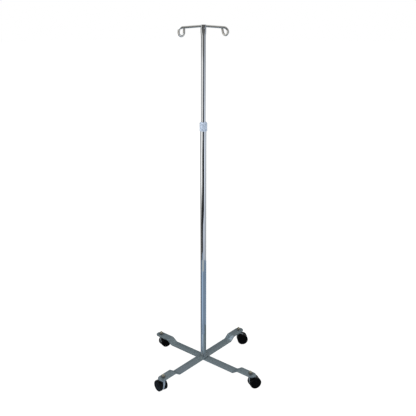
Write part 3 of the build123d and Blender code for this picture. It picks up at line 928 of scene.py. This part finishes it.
def build_wheel(corner, side_name, axle, outward):
    """Moulded wheel: rounded tread, raised rim and concentric steps on the outer face."""
    radius = axle.z
    bore = AXLE_RADIUS + FIT
    face = WHEEL_OUTER
    profile = round_corners([
        (WHEEL_INNER, bore, 0.2 * MM), (WHEEL_INNER, 6.5 * MM, 0.5 * MM),
        (9.5 * MM, 6.5 * MM, 0.5 * MM), (9.5 * MM, 20.5 * MM, 0.6 * MM),
        (WHEEL_INNER, 20.5 * MM, 0.5 * MM), (WHEEL_INNER, radius, 1.8 * MM),
        (11.5 * MM, radius, 0.2 * MM), (13.0 * MM, radius, 0.2 * MM), (face, radius, 3.6 * MM),
        (face, 20.3 * MM, 0.4 * MM), (face - 0.9 * MM, 19.6 * MM, 0.4 * MM),
        (face - 0.9 * MM, 16.6 * MM, 0.3 * MM), (face - 0.4 * MM, 16.2 * MM, 0.3 * MM),
        (face - 0.4 * MM, 14.4 * MM, 0.3 * MM), (face - 1.2 * MM, 13.9 * MM, 0.3 * MM),
        (face - 1.2 * MM, 11.6 * MM, 0.4 * MM), (face - 0.4 * MM, 10.6 * MM, 0.4 * MM),
        (face - 0.4 * MM, CAP_RADIUS + FIT, 0.2 * MM), (CAP_SEAT, CAP_RADIUS + FIT), (CAP_SEAT, bore),
    ], closed=True)
    name = f"caster_wheel_{corner}_{side_name}"
    wheel = lathe(f"{name}_moulded", profile, origin=axle, axis=outward, segments=112)
    tread_start = radius - 2.6 * MM
    layer = wheel.data.attributes.get("wear_and_shade")
    for vertex, entry in zip(wheel.data.vertices, layer.data):
        offset = vertex.co - axle
        from_axis = (offset - outward * offset.dot(outward)).length
        entry.value = smooth_step((from_axis - tread_start) / (2.4 * MM))
    place(wheel, f"wheel_{corner}_{side_name}", "wheel_black", name)


def build_cap(corner, side_name, axle, outward):
    """Shallow dished cap with a raised middle."""
    top = CASTER_HALF_WIDTH
    profile = round_corners([
        (CAP_SEAT, 0), (CAP_SEAT, CAP_RADIUS), (top - 0.4 * MM, CAP_RADIUS, 0.5 * MM),
        (top - 0.2 * MM, 6.4 * MM, 0.3 * MM), (top - 0.7 * MM, 5.6 * MM, 0.3 * MM),
        (top - 0.7 * MM, 3.6 * MM, 0.3 * MM), (top, 2.6 * MM, 0.6 * MM), (top, 0),
    ])
    name = f"caster_cap_{corner}_{side_name}"
    cap = lathe(f"{name}_moulded", profile, origin=axle, axis=outward, segments=64, closed=False)
    place(cap, f"wheel_{corner}_{side_name}", "wheel_black", name)


def build_axle(corner, axle, left):
    half = 17.8 * MM
    profile = round_corners([
        (-half, 0), (-half, AXLE_RADIUS, 0.4 * MM), (half, AXLE_RADIUS, 0.4 * MM), (half, 0),
    ])
    pin = lathe(f"caster_axle_{corner}_ground", profile, origin=axle, axis=left, segments=48, closed=False)
    place(pin, f"caster_{corner}", "zinc_steel", f"caster_axle_{corner}")


def build_casters():
    for corner in CORNERS:
        stem, axle, ahead, left = caster_frame(corner)
        build_caster_stem(corner, stem)
        build_caster_body(corner, stem, axle, ahead, left)
        build_axle(corner, axle, left)
        for side_name, outward in (("left", left), ("right", -left)):
            build_wheel(corner, side_name, axle, outward)
            build_cap(corner, side_name, axle, outward)


# ---- studio ----
CAMERA_HEADING = radians(-4.91)
CAMERA_DISTANCE = 2.5186         # from the mast, over the floor
CAMERA_HEIGHT = 1.5908
CAMERA_TILT = radians(18.065)    # below the horizon
PANEL_REACH = 1.25
SECTOR_STEPS = 12


def stage_material(name, colour, glow, glow_layer=None):
    """Dull stage surface with its own light, in one strength or read from a mesh layer."""
    material = bpy.data.materials.new(name)
    material.use_nodes = True
    tree = material.node_tree
    shader = tree.nodes["Principled BSDF"]
    shader.inputs["Base Color"].default_value = (*colour, 1)
    shader.inputs["Roughness"].default_value = 1.0
    shader.inputs["Specular IOR Level"].default_value = 0.0
    shader.inputs["Emission Color"].default_value = (*glow, 1)
    shader.inputs["Emission Strength"].default_value = 1.0
    if glow_layer:
        layer = tree.nodes.new("ShaderNodeAttribute")
        layer.attribute_name = glow_layer
        tree.links.new(layer.outputs["Fac"], shader.inputs["Emission Strength"])
    return material


def stage_mesh(name, mesh, material, camera=False, glossy=False, diffuse=False, shadow=False):
    """Stage piece, and the kinds of ray that see it."""
    mesh.materials.append(material)
    thing = bpy.data.objects.new(name, mesh)
    bpy.context.scene.collection.objects.link(thing)
    thing.visible_camera = camera
    thing.visible_glossy = glossy
    thing.visible_diffuse = diffuse
    thing.visible_shadow = shadow
    return thing


def square_mesh(name, half):
    """Level square round the origin."""
    mesh = bpy.data.meshes.new(name)
    corners = [(-half, -half, 0), (half, -half, 0), (half, half, 0), (-half, half, 0)]
    mesh.from_pydata(corners, [], [(0, 1, 2, 3)])
    return mesh


def build_floor_and_backdrop():
    """Pale floor, and a pale dome that only the camera sees."""
    stage_mesh("floor", square_mesh("floor", 30.0),
               stage_material("floor_pale", (0.08, 0.08, 0.08), (0.98, 0.98, 0.98)),
               camera=True, diffuse=True, shadow=True)
    build = bmesh.new()
    bmesh.ops.create_uvsphere(build, u_segments=48, v_segments=24, radius=28.0)
    stage_mesh("backdrop", mesh_from("backdrop", build),
               stage_material("backdrop_pale", (0, 0, 0), (1.0, 1.0, 1.0)), camera=True)


def build_world():
    """Soft surround: paler above, blue-grey below, as the plating reflects it."""
    world = bpy.data.worlds.new("studio")
    bpy.context.scene.world = world
    world.use_nodes = True
    tree = world.node_tree
    background = tree.nodes["Background"]
    place_node = tree.nodes.new("ShaderNodeTexCoord")
    split = tree.nodes.new("ShaderNodeSeparateXYZ")
    ramp = tree.nodes.new("ShaderNodeValToRGB")
    lower, upper = ramp.color_ramp.elements
    lower.position, lower.color = 0.40, (0.22, 0.30, 0.40, 1)
    upper.position, upper.color = 0.60, (0.45, 0.46, 0.47, 1)
    scale = tree.nodes.new("ShaderNodeMath")
    scale.operation = "MULTIPLY_ADD"
    scale.inputs[1].default_value = 0.5
    scale.inputs[2].default_value = 0.5
    tree.links.new(place_node.outputs["Generated"], split.inputs["Vector"])
    tree.links.new(split.outputs["Z"], scale.inputs[0])
    tree.links.new(scale.outputs["Value"], ramp.inputs["Fac"])
    tree.links.new(ramp.outputs["Color"], background.inputs["Color"])
    background.inputs["Strength"].default_value = 1.0


def around(azimuth, reach, height):
    """Point round the stand; the azimuth is from the camera's heading, positive to its right."""
    angle = CAMERA_HEADING + azimuth
    return Vector((reach * sin(angle), -reach * cos(angle), height))


def build_reflector(name, tint, levels):
    """Glowing sheet that only reflections see.

    Each level is (reach, height, left angle, right angle, strength), the angles in degrees.
    """
    build = bmesh.new()
    glow_layer = build.verts.layers.float.new("glow")
    lines = []
    for reach, height, left, right, strength in levels:
        line = []
        for azimuth in spread(left, right, SECTOR_STEPS):
            vert = build.verts.new(around(radians(azimuth), reach, height))
            vert[glow_layer] = strength
            line.append(vert)
        lines.append(line)
    for low, high in zip(lines, lines[1:]):
        for k in range(SECTOR_STEPS):
            build.faces.new((low[k], low[k + 1], high[k + 1], high[k]))
    stage_mesh(name, mesh_from(name, build),
               stage_material(name, (0, 0, 0), tint, glow_layer="glow"), glossy=True)


def build_panel(name, tint, levels):
    """Upright curved panel; each level is (height, left angle, right angle, strength)."""
    build_reflector(name, tint, [(PANEL_REACH, *level) for level in levels])


def build_floor_glow(name, tint, left, right, inner, outer):
    """Flat sector just above the floor."""
    build_reflector(name, tint, [(reach, 1 * MM, left, right, 1.0) for reach in (inner, outer)])


def build_sky_patch(name, tint, direction, distance, size):
    """Bright square overhead that only reflections see."""
    patch = stage_mesh(name, square_mesh(name, size / 2), stage_material(name, (0, 0, 0), tint), glossy=True)
    patch.location = Vector(direction).normalized() * distance
    patch.rotation_mode = "QUATERNION"
    patch.rotation_quaternion = Vector(direction).to_track_quat("Z", "Y")


def build_reflection_panels():
    """Dark and bright strips that give the plated mast its streaks."""
    neutral = (1.0, 1.0, 0.98)
    bluish = (0.92, 1.0, 1.13)
    build_panel("panel_far_left", neutral, [
        (0.00, -145, -100, 0.12), (0.30, -145, -100, 0.10), (0.41, -145, -100, 0.04),
        (0.61, -145, -102, 0.0), (0.86, -145, -102, 0.0), (0.92, -145, -98, 0.04),
        (1.05, -145, -98, 0.02), (1.28, -145, -95, 0.0), (2.20, -145, -95, 0.0)])
    build_panel("panel_left", neutral, [
        (0.00, -100, -55, 0.125), (0.30, -100, -55, 0.125), (0.41, -100, -60, 0.42),
        (0.60, -102, -46, 1.20), (0.80, -102, -46, 1.25), (0.95, -98, -32, 1.10),
        (1.28, -95, -25, 1.10), (1.36, -95, -25, 0.75), (2.20, -95, -25, 0.70)])
    build_panel("panel_dark", neutral, [
        (0.06, -55, -15, 0.040), (0.21, -55, -17, 0.0), (0.30, -55, -12, 0.0),
        (0.41, -60, 22, 0.0), (0.60, -46, 26, 0.0), (0.80, -46, 26, 0.0),
        (0.95, -32, 18, 0.0), (1.28, -25, 12, 0.02), (1.36, -25, 30, 0.11),
        (1.50, -25, 36, 0.13), (2.20, -25, 36, 0.15)])
    build_panel("panel_right", bluish, [
        (0.00, -15, 61, 0.60), (0.21, -17, 61, 0.70), (0.30, -12, 61, 0.70),
        (0.41, 22, 61, 0.80), (0.60, 26, 61, 0.95), (0.80, 26, 61, 1.00), (0.95, 18, 72, 0.72),
        (1.28, 12, 82, 0.46), (1.36, 30, 82, 0.44), (2.20, 36, 82, 0.44)])
    build_panel("panel_far_right", bluish, [
        (0.00, 61, 112, 0.36), (0.21, 61, 112, 0.38), (0.41, 61, 112, 0.40),
        (0.80, 61, 112, 0.50), (0.95, 72, 112, 0.60), (1.28, 82, 112, 0.42), (2.20, 82, 112, 0.40)])
    build_panel("panel_back", neutral, [
        (0.00, 112, 145, 1.10), (0.80, 112, 145, 1.18), (0.95, 112, 145, 0.90),
        (1.28, 112, 145, 0.40), (2.20, 112, 145, 0.40)])
    build_panel("panel_behind", (0.92, 1.0, 0.97), [(0.05, 150, 210, 0.15), (0.78, 150, 210, 0.15)])
    build_floor_glow("glow_far_left", (0.03, 0.04, 0.05), -180, -100, 0.05, 3.0)
    build_floor_glow("glow_left", (0.42, 0.56, 0.74), -55, -15, 0.26, 1.04)
    build_floor_glow("glow_foot_left", (0.54, 0.71, 0.91), -62, -14, 0.05, 0.26)
    build_floor_glow("glow_foot_middle", (0.21, 0.27, 0.31), -14, 45, 0.05, 0.26)
    build_floor_glow("glow_foot_right", (0.125, 0.17, 0.19), 45, 170, 0.05, 0.36)
    build_sky_patch("sky_patch", (3.1, 3.6, 4.2), (-0.5, 0.25, 0.82), 3.0, 1.7)
    build_floor_glow("glow_ring", (0.50, 0.55, 0.56), -55, 18, 1.04, 1.25)


def add_lamp(name, light, place_at, target):
    """Aim a lamp at a point; reflections do not see it."""
    lamp = bpy.data.objects.new(name, light)
    lamp.location = place_at
    lamp.rotation_mode = "QUATERNION"
    lamp.rotation_quaternion = (target - place_at).to_track_quat("-Z", "Y")
    lamp.visible_glossy = False
    bpy.context.scene.collection.objects.link(lamp)


def add_area_light(name, place_at, target, size, power):
    light = bpy.data.lights.new(name, "AREA")
    light.shape = "SQUARE"
    light.size = size
    light.energy = power
    add_lamp(name, light, Vector(place_at), Vector(target))


def add_collar_light():
    """Narrow lamp from the left that models the collar's roundness."""
    light = bpy.data.lights.new("collar_key", "SPOT")
    light.energy = 42
    light.spot_size = radians(7)
    light.spot_blend = 0.6
    light.shadow_soft_size = 0.12
    target = box_centre("lock_collar")
    add_lamp("collar_key", light, target + around(radians(-42), 1.5, 0.3), target)


def build_lights():
    add_area_light("key", (-2.4, -2.2, 3.4), (0, 0, 0.6), 2.6, 120)
    add_area_light("fill", (2.8, -1.6, 2.4), (0, 0, 0.5), 2.4, 35)
    add_area_light("top", (0.3, 0.6, 4.2), (0, 0, 0), 3.0, 60)
    add_collar_light()


def build_camera():
    """Slightly raised view from the front, a little to the left of the hook bar's normal."""
    camera_data = bpy.data.cameras.new("camera")
    camera_data.sensor_width = 36.0
    camera_data.lens = 53.82
    camera_data.shift_x = 0.011
    camera = bpy.data.objects.new("camera", camera_data)
    camera.location = around(0, CAMERA_DISTANCE, CAMERA_HEIGHT)
    camera.rotation_euler = (radians(90) - CAMERA_TILT, 0, CAMERA_HEADING)
    bpy.context.scene.collection.objects.link(camera)
    bpy.context.scene.camera = camera


build_camera()
dress_hidden_nodes()
build_base_bars()
rod_low, rod_high = (Vector(corner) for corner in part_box("hook_rod"))
rod_radius = -rod_low.y
rod_middle = rod_high.z - rod_radius
build_lower_tube()
build_upper_tube(rod_middle)
build_hook_rod(rod_middle, rod_radius, rod_high.x - rod_radius)
build_lock_collar()
build_stud_fasteners()
build_base_bolt()
build_casters()
build_floor_and_backdrop()
build_world()
build_reflection_panels()
build_lights()
bpy.context.scene.view_settings.view_transform = "Standard"
